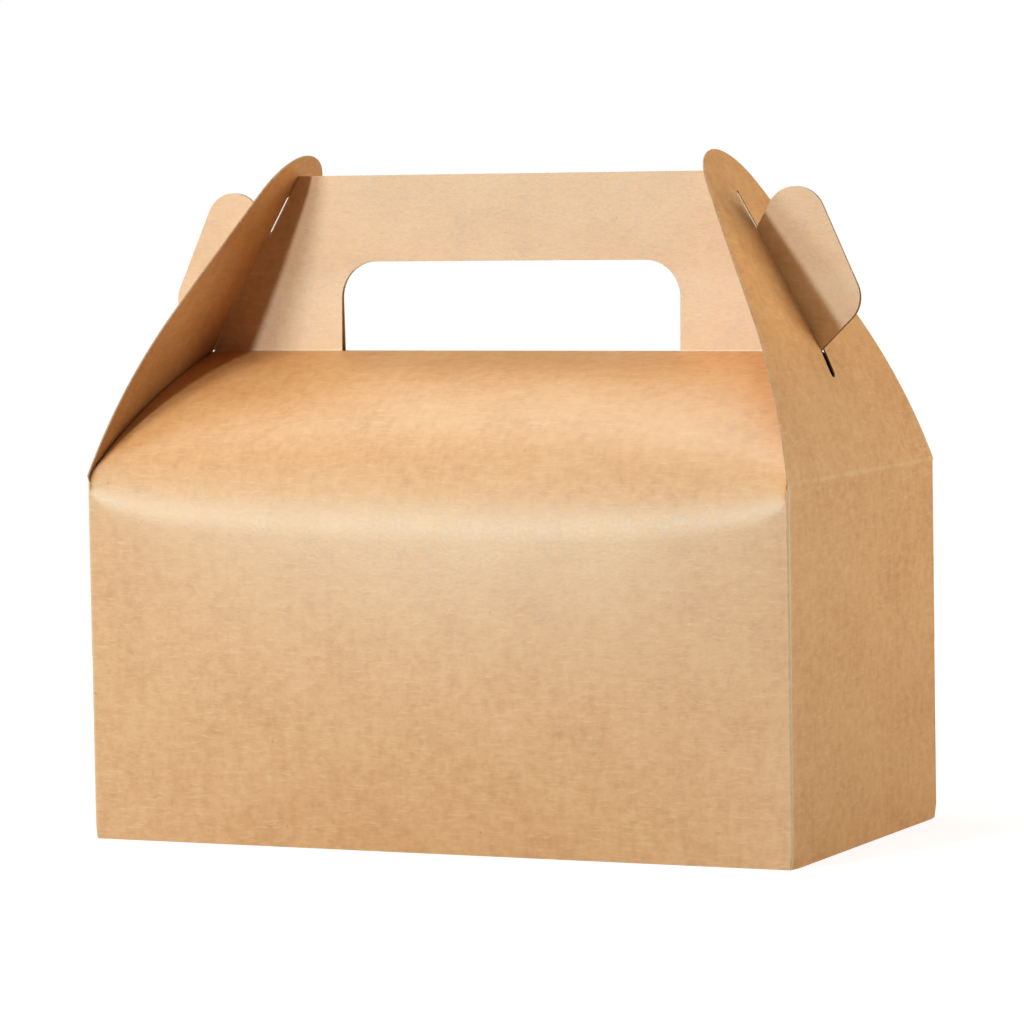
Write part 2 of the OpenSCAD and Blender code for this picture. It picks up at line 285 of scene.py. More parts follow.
def cut_out(loops, rows, columns, clear=0.12):
    """Triangles that fill the first loop less the others, with points on rows and columns."""
    edges, points = [], []
    for loop in loops:
        ring = [q for a, b in zip(loop, loop[1:] + loop[:1]) for q in split_line(a, b, rows, columns)]
        first = len(points)
        points += ring
        edges += [(first + k, first + (k + 1) % len(ring)) for k in range(len(ring))]
    grid = np.array([(c, r) for r in rows for c in columns])
    keep = inside_of(loops[0], grid)
    for loop in loops[1:]:
        keep &= ~inside_of(loop, grid)
    for loop in loops:
        keep &= distance_to(loop, grid) > clear
    points += [tuple(q) for q in grid[keep]]
    found, _, triangles, *_ = delaunay_2d_cdt([Vector(q) for q in points], edges, [], 0, 1e-6)
    flat = np.array([tuple(q) for q in found])
    triangles = [list(t) for t in triangles]
    middle = np.array([flat[t].mean(axis=0) for t in triangles])
    filled = inside_of(loops[0], middle)
    for loop in loops[1:]:
        filled &= ~inside_of(loop, middle)
    return flat, [t for t, ok in zip(triangles, filled) if ok]


def steps_between(a, b, pitch):
    """Values from a to b, evenly spaced at about the pitch."""
    return list(np.linspace(a, b, max(2, round(abs(b - a) / pitch) + 1)))


def round_points(centre, r, start, end, steps):
    """Points on a circle from angle start to angle end, in radians."""
    return [(centre[0] + r * math.cos(mix(start, end, k / steps)),
             centre[1] + r * math.sin(mix(start, end, k / steps))) for k in range(steps + 1)]


def facing(points, triangles, outward):
    """The triangles, turned over if they face away from the outward direction."""
    a, b, c = (np.array([points[t[k]] for t in triangles], float) for k in range(3))
    if (np.cross(b - a, c - a).sum(axis=0) @ np.array(outward)) < 0:
        return [t[::-1] for t in triangles]
    return triangles


# %% [markdown]
# ## Kraft board
# Kraft board is pressed from unbleached pulp, so its brown is never even: there are soft
# clouds, blotches a few millimetres wide, a faint grain along the sheet, fine fibres that
# lie every way, and a few dark flecks of bark. Pressed smooth, it has a satin shine. These
# effects are in all three finishes of the board, so they are node groups: the outer face,
# the inner face and the cut edge place them with values of their own. They read the flat
# sheet's UV map, which doesn't slide when a flap moves.

# %% Tools for node groups
def new_group(name, inputs, outputs):
    """A shader node group with float, vector or colour sockets, and its two end nodes."""
    group = bpy.data.node_groups.new(name, "ShaderNodeTree")
    kinds = {"value": "NodeSocketFloat", "vector": "NodeSocketVector", "colour": "NodeSocketColor"}
    for key, kind, default in inputs:
        socket = group.interface.new_socket(key, in_out="INPUT", socket_type=kinds[kind])
        if default is not None:
            socket.default_value = default
    for key, kind in outputs:
        group.interface.new_socket(key, in_out="OUTPUT", socket_type=kinds[kind])
    return group, group.nodes.new("NodeGroupInput"), group.nodes.new("NodeGroupOutput")


def add(tree, kind, values=(), **settings):
    """A node with its settings and input values. A value may be a socket to link from."""
    node = tree.nodes.new(kind)
    for key, value in settings.items():
        setattr(node, key, value)
    for key, value in dict(values).items():
        if isinstance(value, bpy.types.NodeSocket):
            tree.links.new(value, node.inputs[key])
        else:
            node.inputs[key].default_value = value
    return node


def maths(tree, operation, a, b=0.0, c=0.0, clamp=False):
    """A Math node's result."""
    return add(tree, "ShaderNodeMath", {0: a, 1: b, 2: c}, operation=operation, use_clamp=clamp).outputs[0]


def spread(tree, value, low, high, to_low, to_high, smooth=False):
    """A value mapped from one range to another and held inside it."""
    kind = "SMOOTHSTEP" if smooth else "LINEAR"
    return add(tree, "ShaderNodeMapRange", {0: value, 1: low, 2: high, 3: to_low, 4: to_high},
               interpolation_type=kind).outputs[0]


def stretched(tree, vector, turn, scale):
    """The sheet's coordinates turned and then scaled, so that a pattern runs in one direction."""
    return add(tree, "ShaderNodeMapping", {"Vector": vector, "Rotation": (0, 0, turn), "Scale": scale},
               vector_type="POINT").outputs[0]


def noise(tree, vector, scale, detail=2.0, roughness=0.5):
    return add(tree, "ShaderNodeTexNoise", {"Vector": vector, "Scale": scale, "Detail": detail,
               "Roughness": roughness}, noise_dimensions="3D").outputs[0]


# %% Node group: clouds, blotches and grain
paper_cloud, gin, gout = new_group(
    "paper_cloud",
    [("Vector", "vector", None), ("Clouds", "value", 0.5), ("Blotches", "value", 0.5),
     ("Grain", "value", 0.5)],
    [("Shade", "value"), ("Height", "value")],
)
sheet = gin.outputs["Vector"]
long_way = stretched(paper_cloud, sheet, 0, (1.0, 0.15, 1.0))
short_way = stretched(paper_cloud, sheet, 0, (0.2, 1.0, 1.0))


def pattern(vector, per_metre, detail=2.0, roughness=0.5):
    """Noise with a number of spots in each metre, spread from -1 to 1."""
    plain = noise(paper_cloud, vector, per_metre, detail, roughness)
    return spread(paper_cloud, plain, 0.3, 0.7, -1.0, 1.0)


clouds = pattern(sheet, 40.0, 4.0, 0.6)
blotches = pattern(sheet, 260.0, 5.0, 0.7)
tooth = pattern(sheet, 900.0)
down = pattern(long_way, 420.0)
across = pattern(short_way, 700.0)
grain = maths(paper_cloud, "MULTIPLY_ADD", across, 0.6, down)
shade = maths(paper_cloud, "MULTIPLY", clouds, gin.outputs["Clouds"])
shade = maths(paper_cloud, "MULTIPLY_ADD", blotches, gin.outputs["Blotches"], shade)
shade = maths(paper_cloud, "MULTIPLY_ADD", grain, gin.outputs["Grain"], shade)
height = maths(paper_cloud, "MULTIPLY_ADD", tooth, 0.4, maths(paper_cloud, "MULTIPLY", grain, 0.2))
height = maths(paper_cloud, "MULTIPLY_ADD", blotches, 0.5, height)
paper_cloud.links.new(shade, gout.inputs["Shade"])
paper_cloud.links.new(height, gout.inputs["Height"])
print("node group", paper_cloud.name, "with", len(paper_cloud.nodes), "nodes")

# %% Node group: fibres that lie every way, and flecks
paper_fibre, gin, gout = new_group(
    "paper_fibre",
    [("Vector", "vector", None), ("Density", "value", 0.5), ("Flecks", "value", 0.5)],
    [("Fibre", "value"), ("Fleck", "value")],
)
sheet = gin.outputs["Vector"]
swirl = add(paper_fibre, "ShaderNodeTexNoise", {"Vector": sheet, "Scale": 260.0, "Detail": 1.0})
bent = add(paper_fibre, "ShaderNodeVectorMath", {0: swirl.outputs["Color"], 1: (0.0016, 0.0016, 0.0)},
           operation="MULTIPLY").outputs[0]
wavy = add(paper_fibre, "ShaderNodeVectorMath", {0: sheet, 1: bent}, operation="ADD").outputs[0]
more = maths(paper_fibre, "MULTIPLY", gin.outputs["Density"], 0.12)
least = maths(paper_fibre, "SUBTRACT", 0.72, more)
strands = None
for turn, scale in ((0.2, 900.0), (1.1, 1000.0), (1.9, 860.0), (2.7, 1100.0)):
    run = noise(paper_fibre, stretched(paper_fibre, wavy, turn, (0.14, 1.0, 1.0)), scale, 1.0)
    run = spread(paper_fibre, run, least, 0.8, 0.0, 1.0)
    strands = run if strands is None else maths(paper_fibre, "MAXIMUM", strands, run)
oblong = stretched(paper_fibre, wavy, 0.4, (1.0, 0.55, 1.0))
cells = add(paper_fibre, "ShaderNodeTexVoronoi", {"Vector": oblong, "Scale": 210.0, "Randomness": 1.0},
            voronoi_dimensions="2D")
chosen = add(paper_fibre, "ShaderNodeSeparateColor", {0: cells.outputs["Color"]}).outputs[0]
share = maths(paper_fibre, "MULTIPLY", gin.outputs["Flecks"], 0.12)
least = maths(paper_fibre, "SUBTRACT", 1.0, share)
chosen = spread(paper_fibre, chosen, least, 1.0, 0.0, 1.0)
speck = spread(paper_fibre, cells.outputs["Distance"], 0.03, 0.08, 1.0, 0.0, smooth=True)
paper_fibre.links.new(strands, gout.inputs["Fibre"])
paper_fibre.links.new(maths(paper_fibre, "MULTIPLY", speck, chosen), gout.inputs["Fleck"])
print("node group", paper_fibre.name, "with", len(paper_fibre.nodes), "nodes")

# %% Node group: creases
# The corner folds, crease_a, are painted pale. This is partly crushed fibres and partly a painted highlight
# where the rounded fold catches the light. The scored folds, crease_b, hardly are.
crease_line, gin, gout = new_group(
    "crease_line",
    [("Width", "value", 0.0011), ("Break", "value", 0.3), ("Vector", "vector", None)],
    [("Mask", "value"), ("Height", "value")],
)
lines = []
for key in ("crease_a", "crease_b"):
    distance = add(crease_line, "ShaderNodeAttribute", attribute_name=key).outputs["Fac"]
    distance = maths(crease_line, "ABSOLUTE", distance)
    distance = maths(crease_line, "DIVIDE", distance, gin.outputs["Width"])
    lines.append(spread(crease_line, distance, 0.0, 1.0, 1.0, 0.0, smooth=True))
line = maths(crease_line, "MAXIMUM", *lines)
# Full painted crease colour on the corner folds, partly fibre wear and partly painted highlight; a fifth of
# it on the scored folds.
wear_and_highlight_mask = maths(crease_line, "MAXIMUM", lines[0], maths(crease_line, "MULTIPLY", lines[1], 0.2))
broken = noise(crease_line, gin.outputs["Vector"], 500.0, 3.0, 0.7)
broken = spread(crease_line, broken, 0.35, 0.65, 0.0, 1.0)
broken = maths(crease_line, "MULTIPLY", broken, gin.outputs["Break"])
whole = maths(crease_line, "SUBTRACT", 1.0, broken)
crease_line.links.new(maths(crease_line, "MULTIPLY", wear_and_highlight_mask, whole), gout.inputs["Mask"])
crease_line.links.new(line, gout.inputs["Height"])
print("node group", crease_line.name, "with", len(crease_line.nodes), "nodes")

# %% Build one finish of the board
def srgb(r, g, b):
    """A colour written as on screen, from 0 to 255, in the linear values that nodes use."""
    return tuple(((c / 255 + 0.055) / 1.055) ** 2.4 if c > 10 else c / 3294 for c in (r, g, b)) + (1.0,)


FLECK_BROWN = srgb(112, 72, 38)


def tint(tree, share, a, b):
    """Two colours mixed by a share. Each may be a value or a socket."""
    node = tree.nodes.new("ShaderNodeMix")
    node.data_type = "RGBA"
    for index, value in ((0, share), (6, a), (7, b)):
        if isinstance(value, bpy.types.NodeSocket):
            tree.links.new(value, node.inputs[index])
        else:
            node.inputs[index].default_value = value
    return node.outputs[2]


def board_finish(name, base, dark, pale, wear_and_highlight_colour, clouds, grain, fibres, flecks, gloss, bump):
    """A material of kraft board. base, dark and pale are its colours, and the fourth colour is that of a
    crease: paler partly from crushed fibres and partly as a painted highlight.

    clouds holds the strength of the wide clouds and that of the small blotches.
    """
    material = bpy.data.materials.new(name)
    material.use_nodes = True
    tree = material.node_tree
    shader = tree.nodes["Principled BSDF"]
    sheet = add(tree, "ShaderNodeUVMap", uv_map="flat_sheet").outputs[0]
    cloud = add(tree, "ShaderNodeGroup", node_tree=paper_cloud)
    fibre = add(tree, "ShaderNodeGroup", node_tree=paper_fibre)
    crease = add(tree, "ShaderNodeGroup", node_tree=crease_line)
    for node in (cloud, fibre, crease):
        tree.links.new(sheet, node.inputs["Vector"])
    cloud.inputs["Clouds"].default_value, cloud.inputs["Blotches"].default_value = clouds
    cloud.inputs["Grain"].default_value = grain
    fibre.inputs["Density"].default_value = fibres
    fibre.inputs["Flecks"].default_value = flecks
    darker = spread(tree, cloud.outputs["Shade"], 0.0, 1.0, 0.0, 1.0)
    paler = spread(tree, cloud.outputs["Shade"], 0.0, -1.0, 0.0, 1.0)
    colour = tint(tree, darker, base, dark)
    colour = tint(tree, paler, colour, pale)
    colour = tint(tree, maths(tree, "MULTIPLY", fibre.outputs["Fibre"], 0.6), colour, pale)
    colour = tint(tree, maths(tree, "MULTIPLY", fibre.outputs["Fleck"], 0.45), colour, FLECK_BROWN)
    # Creases turn paler here: partly crushed fibres, partly a painted highlight along the rounded corner
    # folds.
    colour = tint(tree, maths(tree, "MULTIPLY", crease.outputs["Mask"], 0.9), colour, wear_and_highlight_colour)
    tree.links.new(colour, shader.inputs["Base Color"])
    rough = spread(tree, cloud.outputs["Height"], -1.0, 1.0, gloss + 0.05, gloss - 0.05)
    rough = maths(tree, "MULTIPLY_ADD", crease.outputs["Mask"], 0.12, rough)
    rough = maths(tree, "MULTIPLY_ADD", fibre.outputs["Fibre"], 0.06, rough, clamp=True)
    tree.links.new(rough, shader.inputs["Roughness"])
    relief = maths(tree, "MULTIPLY_ADD", fibre.outputs["Fibre"], 0.5, cloud.outputs["Height"])
    relief = maths(tree, "MULTIPLY_ADD", crease.outputs["Height"], -1.0, relief)
    bumps = add(tree, "ShaderNodeBump", {"Height": relief, "Strength": bump, "Distance": 0.00003})
    tree.links.new(bumps.outputs[0], shader.inputs["Normal"])
    # The shine is tinted a little blue-green, which keeps the highlight a pale tan.
    shader.inputs["IOR"].default_value = 1.6
    shader.inputs["Specular IOR Level"].default_value = 1.0
    shader.inputs["Specular Tint"].default_value = (0.55, 0.88, 0.86, 1.0)
    print("material", name, "with", len(tree.nodes), "nodes")
    return material


# %% The three finishes
# Each finish's crease colour is paler than its board: partly crushed fibres, partly a painted highlight
# where a rounded fold catches the light.
kraft_outside = board_finish(
    "kraft_outside", base=srgb(229, 168, 104), dark=srgb(200, 132, 68), pale=srgb(243, 193, 135),
    wear_and_highlight_colour=srgb(250, 222, 180), clouds=(0.24, 0.42), grain=0.08, fibres=0.9, flecks=0.2, gloss=0.45, bump=0.5)
kraft_inside = board_finish(
    "kraft_inside", base=srgb(216, 158, 98), dark=srgb(194, 136, 76), pale=srgb(230, 182, 124),
    wear_and_highlight_colour=srgb(226, 180, 124), clouds=(0.35, 0.4), grain=0.2, fibres=0.6, flecks=0.7, gloss=0.58, bump=0.8)
cut_edge = board_finish(
    "cut_edge", base=srgb(182, 144, 102), dark=srgb(150, 112, 74), pale=srgb(206, 174, 134),
    wear_and_highlight_colour=srgb(190, 154, 112), clouds=(0.2, 0.5), grain=0.3, fibres=0.9, flecks=0.3, gloss=0.8, bump=1.0)
board_materials += [kraft_outside, kraft_inside, cut_edge]

# %% [markdown]
# ## Front and back panels
# The bulging panel can't be cut from a flat pattern and bent one way, so it is lofted: a
# grid of points runs through the sections, close together where the sheet turns fastest.
# Its upper part stops just behind the rolled end flaps, as the real board does. The back
# panel is the same sheet seen from behind, so its points are the front's with y turned. On
# the flat sheet the ridge is RIDGE_V up from the floor, and the back is counted down from
# BACK_V, so that its pattern isn't the front's.

# %% Loft the side panels
CORNER_R = BEHIND
RIDGE_V = 191.5
BACK_V = 600.0


def panel_station(p, depth, side):
    """Points of one section, set along the box: the roof's stop just behind the end flap."""
    points = []
    for q, (y, z) in enumerate(front_section(p, depth)):
        reach = BOX_L / 2 - CORNER_R if q <= WALL_STEPS else flap_x(max(z, WALL_H), BEHIND)
        points.append((p * reach, -side * y, z))
    return points


def side_panel(name, side):
    """Wall and roof. side is -1 for the front and 1 for the back."""
    count, rows = 88, WALL_STEPS + BEND_STEPS + ROOF_STEPS + 1
    outer, inner, flat, to_corner, to_ridge = [], [], [], [], []
    for k in range(count + 1):
        p = -math.cos(math.pi * k / count)
        station = panel_station(p, 0, side)
        outer += station
        inner += panel_station(p, BOARD, side)
        lengths = [math.dist(a[1:], b[1:]) for a, b in zip(station, station[1:])]
        run = np.concatenate([[0], np.cumsum(lengths)])
        for (x, _, z), v in zip(station, run):
            flat.append((x, v if side < 0 else BACK_V - v))
            to_corner.append(BOX_L / 2 - CORNER_R * 0.2 - abs(x) if z < WALL_H - 4 else CREASE_FAR)
            to_ridge.append(run[-1] - v)
    faces = [(k * rows + q, (k + 1) * rows + q, (k + 1) * rows + q + 1, k * rows + q + 1)
             for k in range(count) for q in range(rows - 1)]
    faces = facing(outer, faces, (0, side, 0.5))
    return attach(make_board(name, outer, inner, faces, flat, (to_corner, to_ridge)), "carton")


front_panel = side_panel("front_panel", -1)
side_panel("back_panel", 1)
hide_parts("carton")

# %% [markdown]
# ## Handle sheets and their ears
# Above the ridge each panel goes on as a flat sheet with a hand hole, and at each end it
# sticks out through the slot of the flap as an ear. The two sheets leave the ridge a little
# apart and lean in until they touch. The outline is drawn flat, filled with rows of points,
# and then leant: the rows let a flat cut-out follow a bent section.

# %% Outline of a handle sheet
def touching(a, b):
    """Unit normal of the straight edge from circle a to circle b, on its right."""
    d = np.array([b[0] - a[0], b[1] - a[1]])
    length = np.linalg.norm(d)
    u = d / length
    k = (a[2] - b[2]) / length
    return k * u + math.sqrt(1 - k * k) * np.array([u[1], -u[0]])


def ear_chain():
    """The right ear from ridge to notch, as circles that its outline runs round."""
    low = on_flap(RIDGE_S + EAR_LOW_S, EAR_LOW - EAR_LOW_R)
    high = on_flap(NOTCH_S - EAR_HIGH_S, EAR_HIGH - EAR_HIGH_R)
    notch = on_flap(NOTCH_S, -BEHIND)
    return [(flap_x(RIDGE_H, BEHIND), RIDGE_H, 0.0), (*low, EAR_LOW_R), (*high, EAR_HIGH_R), (*notch, 0.0)]


def ear_points():
    """Points of the right ear's outline, from the ridge round to the notch."""
    chain = ear_chain()
    normals = [touching(a, b) for a, b in zip(chain, chain[1:])]
    points = [chain[0][:2]]
    for (x, z, r), before, after in zip(chain[1:-1], normals, normals[1:]):
        start, end = (math.atan2(n[1], n[0]) for n in (before, after))
        points += round_points((x, z), r, start, start + (end - start) % (2 * math.pi), 14)
    return points + [chain[-1][:2]]


def handle_loop():
    """The whole outline: right ear, top edge, left ear, and round the hand hole."""
    right = ear_points() + [(flap_x(TOP_H, BEHIND), TOP_H)]
    left = [(-x, z) for x, z in right[::-1]]
    x, z = HOLE_L / 2 - HOLE_R, RIDGE_H + HOLE_H - HOLE_R
    hole = ([(-HOLE_L / 2, RIDGE_H)] + round_points((-x, z), HOLE_R, math.pi, math.pi / 2, 12)
            + round_points((x, z), HOLE_R, math.pi / 2, 0, 12) + [(HOLE_L / 2, RIDGE_H)])
    return [(float(a), float(b)) for a, b in right + left + hole]


print("handle outline:", len(handle_loop()), "points")

# %% Cut and lean the handle sheets
def handle_sheet(name, side):
    rows = steps_between(RIDGE_H, RIDGE_H + 2, 0.5) + steps_between(RIDGE_H + 4, TOP_H, 2.4)
    flat, triangles = cut_out([handle_loop()], rows, steps_between(-BOX_L / 2, BOX_L / 2, 3.2), 0.5)
    lean = np.clip((flat[:, 1] - RIDGE_H) / SHEET_MEET, 0.0, 1.0)
    out = mix(SHEET_SPREAD / 2, BOARD + SHEET_GAP / 2, lean)
    outer = np.column_stack([flat[:, 0], side * out, flat[:, 1]])
    inner = np.column_stack([flat[:, 0], side * (out - BOARD), flat[:, 1]])
    triangles = facing(outer, triangles, (0, side, 0))
    v = RIDGE_V + (flat[:, 1] - RIDGE_H)
    sheet_place = np.column_stack([flat[:, 0], v if side < 0 else BACK_V - v])
    creases = (flat[:, 1] - RIDGE_H, np.full(len(flat), CREASE_FAR))
    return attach(make_board(name, outer, inner, triangles, sheet_place, creases), "carton")


handle_sheet("front_handle", -1)
handle_sheet("back_handle", 1)

# %% [markdown]
# ## Ends: wall and flap in one
# End wall and end flap are one sheet with a scored fold between them, and the flap opens.
# Two separate pieces would part at the fold, so each end is one mesh whose wall follows the
# carton and whose flap takes the flap's shape, blended over the width of the score. The
# sheet also carries the rounded corner folds, up to the front and back panels' edges.

# %% Outline of an end
HALF_FLAT = BOX_W / 2 - CORNER_R
CORNER_L = CORNER_R * math.pi / 2
CORNER_END = WALL_H - 2.0
SCORE = 1.0


def up_sheet(s):
    """Distance up the flat sheet of a point s along the flap's straight part."""
    return WALL_H + ROLL_L + (s if s > 0 else FLAP_BEND_R * math.asin(s / FLAP_BEND_R))


def end_loops():
    """Wall, flap and tip as one outline, and the slot. Drawn as y and distance up the sheet."""
    tip = np.array([0.0, up_sheet(TIP_S) - TIP_R])
    fold_end = np.array([BOX_W / 2, WALL_H])
    bow = crossing(tip, SIDE_R - TIP_R, fold_end, SIDE_R)
    turn = math.atan2(*(tip - bow)[::-1])
    right = [(HALF_FLAT + CORNER_L, 0.0), (HALF_FLAT + CORNER_L, CORNER_END)]
    right += [tuple(q) for q in arc(bow, SIDE_R, fold_end, tip, 24)[:-1]]
    outline = right + round_points(tip, TIP_R, turn, math.pi - turn, 39) + [(-y, s) for y, s in right[::-1]]
    wide, narrow = SHEET_SPREAD / 2 + SLOT_PLAY, BOARD + SHEET_GAP / 2 + SLOT_PLAY
    low, ridge, meet, high = (up_sheet(s) for s in (SLOT_S[0] + wide, RIDGE_S, MEET_S, SLOT_S[1] - narrow))
    slot = (round_points((0.0, high), narrow, 0, math.pi, 12) + [(-narrow, meet), (-wide, ridge)]
            + round_points((0.0, low), wide, math.pi, 2 * math.pi, 12) + [(wide, ridge), (narrow, meet)])
    return outline, slot


def rolled(centre, r, turn):
    """Point at a turn about a centre, in side view, and its outward direction."""
    out = np.array([math.cos(turn), math.sin(turn)])
    return centre + r * out, out


def end_profile(s):
    """Point of the outer face in side view and its outward direction, s up from the floor."""
    if s <= WALL_H - SCORE:
        return np.array([BOX_L / 2, s]), np.array([1.0, 0.0])
    if s < WALL_H + SCORE:
        r = 2 * SCORE / FOLD_LEAN
        return rolled(np.array([BOX_L / 2 - r, WALL_H - SCORE]), r, (s - WALL_H + SCORE) / r)
    if s <= WALL_H + ROLL_L:
        return rolled(ROLL_CENTRE, FLAP_BEND_R, FOLD_LEAN + (s - WALL_H) / FLAP_BEND_R)
    return on_flap(s - WALL_H - ROLL_L, 0), OFF_FLAP


corner_line = front_section(1.0)


def end_point(y, s, depth=0.0):
    """Where a point of the flat end lies on the box: its edges turn round the corner folds."""
    place, out = end_profile(s)
    over = max(abs(y) - HALF_FLAT, 0.0)
    relax = min(max((s - CORNER_END) / 2.0, 0.0), 1.0)
    turn = over / CORNER_R
    r = CORNER_R - depth
    across = min(abs(y), HALF_FLAT) + mix(r * math.sin(turn), over, relax)
    # Near its top the corner draws in with the bend of the front and back panels.
    edge = np.interp(s, [q[1] for q in corner_line], [-q[0] for q in corner_line])
    across -= (1 - relax) * (BOX_W / 2 - edge) * over / CORNER_L
    back = mix(CORNER_R - r * math.cos(turn), depth, relax)
    x, z = place - back * out
    return x, math.copysign(across, y), z


# %% Make both ends
def end_sheet(name, side):
    """End wall and flap. side is -1 for the left end and 1 for the right."""
    top = WALL_H + ROLL_L + TIP_S
    rows = (steps_between(0, CORNER_END, 4.5) + steps_between(WALL_H - SCORE, WALL_H + SCORE, 0.2)
            + steps_between(WALL_H + 3, top - 1, 2.6))
    fine = [side_of * (HALF_FLAT + CORNER_L * k / 5) for side_of in (-1, 1) for k in range(0, 5)]
    columns = sorted(steps_between(4 - HALF_FLAT, HALF_FLAT - 4, 4.0) + fine)
    flat, triangles = cut_out(end_loops(), rows, columns)
    skins = []
    for depth in (0, BOARD):
        points = [end_point(*q, depth) for q in flat]
        skins.append([(side * x, y, z) for x, y, z in points])
    outer, inner = skins
    triangles = facing(outer, triangles, (side, 0, 0))
    corner = np.where(flat[:, 1] < WALL_H, HALF_FLAT + CORNER_L * 0.5 - np.abs(flat[:, 0]), CREASE_FAR)
    creases = (corner, flat[:, 1] - WALL_H)
    sheet_place = np.column_stack([side * (BOX_L / 2 + HALF_FLAT + flat[:, 0]), flat[:, 1]])
    piece = make_board(name, outer, inner, triangles, sheet_place, creases)
    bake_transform(piece)
    return piece


left_end = end_sheet("left_end", -1)
right_end = end_sheet("right_end", 1)
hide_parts("left_end_flap")
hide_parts("right_end_flap")

# %% [markdown]
# ## Bottom and glued corner
# The bottom locks without glue: an inner flap with a slot, a flap from each end wall, and an
# outer flap whose tongue goes up through the slot. They lie flat, so plain cut-outs at the
# right heights will do, and the same tools make the tab that is glued inside one corner.

# %% Sizes of the bottom
INNER_PAST, OUTER_PAST, SIDE_REACH = 12.0, 8.0, 62.0
TONGUE_L, TONGUE_REACH, TONGUE_PLAY = 96.0, 13.0, 1.0
INNER_STRAIGHT, OUTER_STRAIGHT, TAB_W = 0.8, 0.75, 15.0


def flat_board(name, loops, z, place=(0.0, 300.0)):
    """A level piece of board whose upper face is at height z."""
    rows, columns = steps_between(-BOX_W / 2, BOX_W / 2, 8), steps_between(-BOX_L / 2, BOX_L / 2, 8)
    flat, triangles = cut_out(loops, rows, columns, 1.0)
    far = np.full(len(flat), CREASE_FAR)
    upper, lower = (np.column_stack([flat, np.full(len(flat), h)]) for h in (z, z - BOARD))
    triangles = facing(lower, triangles, (0, 0, -1))
    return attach(make_board(name, lower, upper, triangles, flat + np.array(place), (far, far)), "carton")


# %% Lay the bottom flaps
l, w = BOX_L / 2 - 2 * BOARD, BOX_W / 2 - BOARD
tip_l, slot_l = l * INNER_STRAIGHT, TONGUE_L + 2 * TONGUE_PLAY
slot_y = -OUTER_PAST - 2 * BOARD
slot_top = slot_y + 2 * BOARD
flat_board("bottom_inner", [
    [(-l, -w), (l, -w), (l, -w / 2), (tip_l, INNER_PAST), (-tip_l, INNER_PAST), (-l, -w / 2)],
    [(-slot_l / 2, slot_y), (slot_l / 2, slot_y), (slot_l / 2, slot_top), (-slot_l / 2, slot_top)],
], 3 * BOARD, (0.0, 700.0))
tip_l = l * OUTER_STRAIGHT
flat_board("bottom_outer", [
    [(-l, w), (-l, w / 3), (-tip_l, -OUTER_PAST), (tip_l, -OUTER_PAST), (l, w / 3), (l, w)],
], BOARD, (0.0, 900.0))
reach, w = l - SIDE_REACH, BOX_W / 2 - 2 * BOARD
for name, side in (("bottom_left", -1), ("bottom_right", 1)):
    flat_board(name, [[(side * l, -w), (side * l, w), (side * reach, w / 2), (side * reach, -w / 3)]],
               2 * BOARD, (side * 400.0, 1100.0))

# %% Tongue and glued tab
half = TONGUE_L / 2
flat_board("bottom_tongue", [
    [(-half, -OUTER_PAST), (half, -OUTER_PAST), (half - TONGUE_REACH, -OUTER_PAST - TONGUE_REACH),
     (-half + TONGUE_REACH, -OUTER_PAST - TONGUE_REACH)],
], 4 * BOARD, (0.0, 1000.0))


def upright_board(name, corners, flat, outward):
    """A plain upright panel, from the four corners of its outer face."""
    outer = np.array(corners, float)
    inner = outer - BOARD * np.array(outward)
    faces = facing(outer, [[0, 1, 2, 3]], outward)
    far = np.full(4, CREASE_FAR)
    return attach(make_board(name, outer, inner, faces, np.array(flat, float), (far, far)), "carton")


y = -OUTER_PAST - BOARD / 2
upright_board(
    "tongue_riser", [(-half, y, 0), (half, y, 0), (half, y, 4 * BOARD), (-half, y, 4 * BOARD)],
    [(-half, 980), (half, 980), (half, 982), (-half, 982)], (0, 1, 0))
x, edge = -BOX_L / 2 + 1.1 * BOARD, BOX_W / 2 - BOARD
low, high, slope = 3 * BOARD, WALL_H - 8 * BOARD, TAB_W / 3
free = edge - TAB_W
upright_board(
    "glue_tab", [(x, edge, low), (x, edge, high), (x, free, high - slope), (x, free, low + slope)],
    [(600, 0), (600, high), (600 + TAB_W, high - slope), (600 + TAB_W, slope)], (-1, 0, 0))

# %% [markdown]
# ## Camera
# The photograph is taken from the front and right, a little above the table, with a long
# lens. The camera's place, its turn about its own axis and its lens were worked out from
# the corners of the box in the photograph. A guess by eye would leave each corner off.

# %% Place the camera
PICTURE_PX, FOCAL_PX = 1024, 5105
CAMERA_AZIMUTH, CAMERA_ELEVATION, CAMERA_ROLL = 24.51, 4.09, -0.96
CAMERA_RIGHT, CAMERA_UP, CAMERA_BACK = -2.1, 102.2, 1654.0


def direction(azimuth, elevation):
    """The way out from the box. Azimuth 0 is in front of it, 90 on its right, in degrees."""
    a, e = math.radians(azimuth), math.radians(elevation)
    return Vector((math.sin(a) * math.cos(e), -math.cos(a) * math.cos(e), math.sin(e)))


